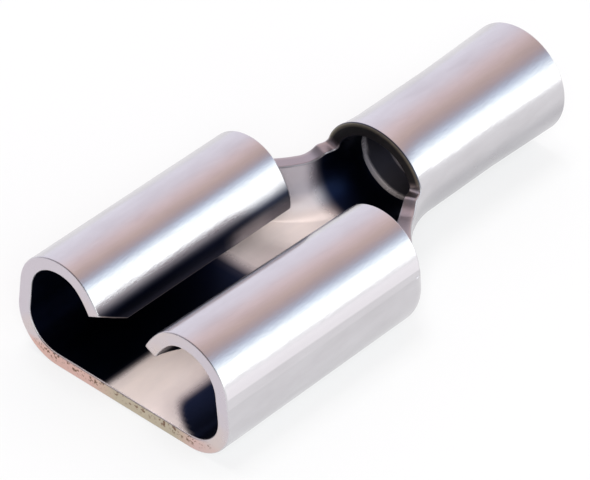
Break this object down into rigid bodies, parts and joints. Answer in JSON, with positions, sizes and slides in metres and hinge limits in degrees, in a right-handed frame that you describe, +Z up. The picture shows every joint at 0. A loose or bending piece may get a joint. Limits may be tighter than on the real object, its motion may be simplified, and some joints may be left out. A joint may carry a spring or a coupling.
{
  "type": "blade receptacle terminal",
  "caption": "Open push-on blade receptacle with rolled side wings, joined by a trough neck to a closed round crimp barrel, folded from a single plated strip.",
  "frame": {"origin": "under the middle of the part, on the plane of the floor's underside, halfway along the length", "axes": "+Z up from the floor, +Y from the blade mouth towards the wire end, +X to the right seen from the mouth"},
  "size_m": [0.0078, 0.0162, 0.0036],
  "materials": {
    "tinned_strip": "bright tin plate, satin"
  },
  "bodies": {
    "root": {"terminal": "tinned_strip"}
  },
  "joints": []
}
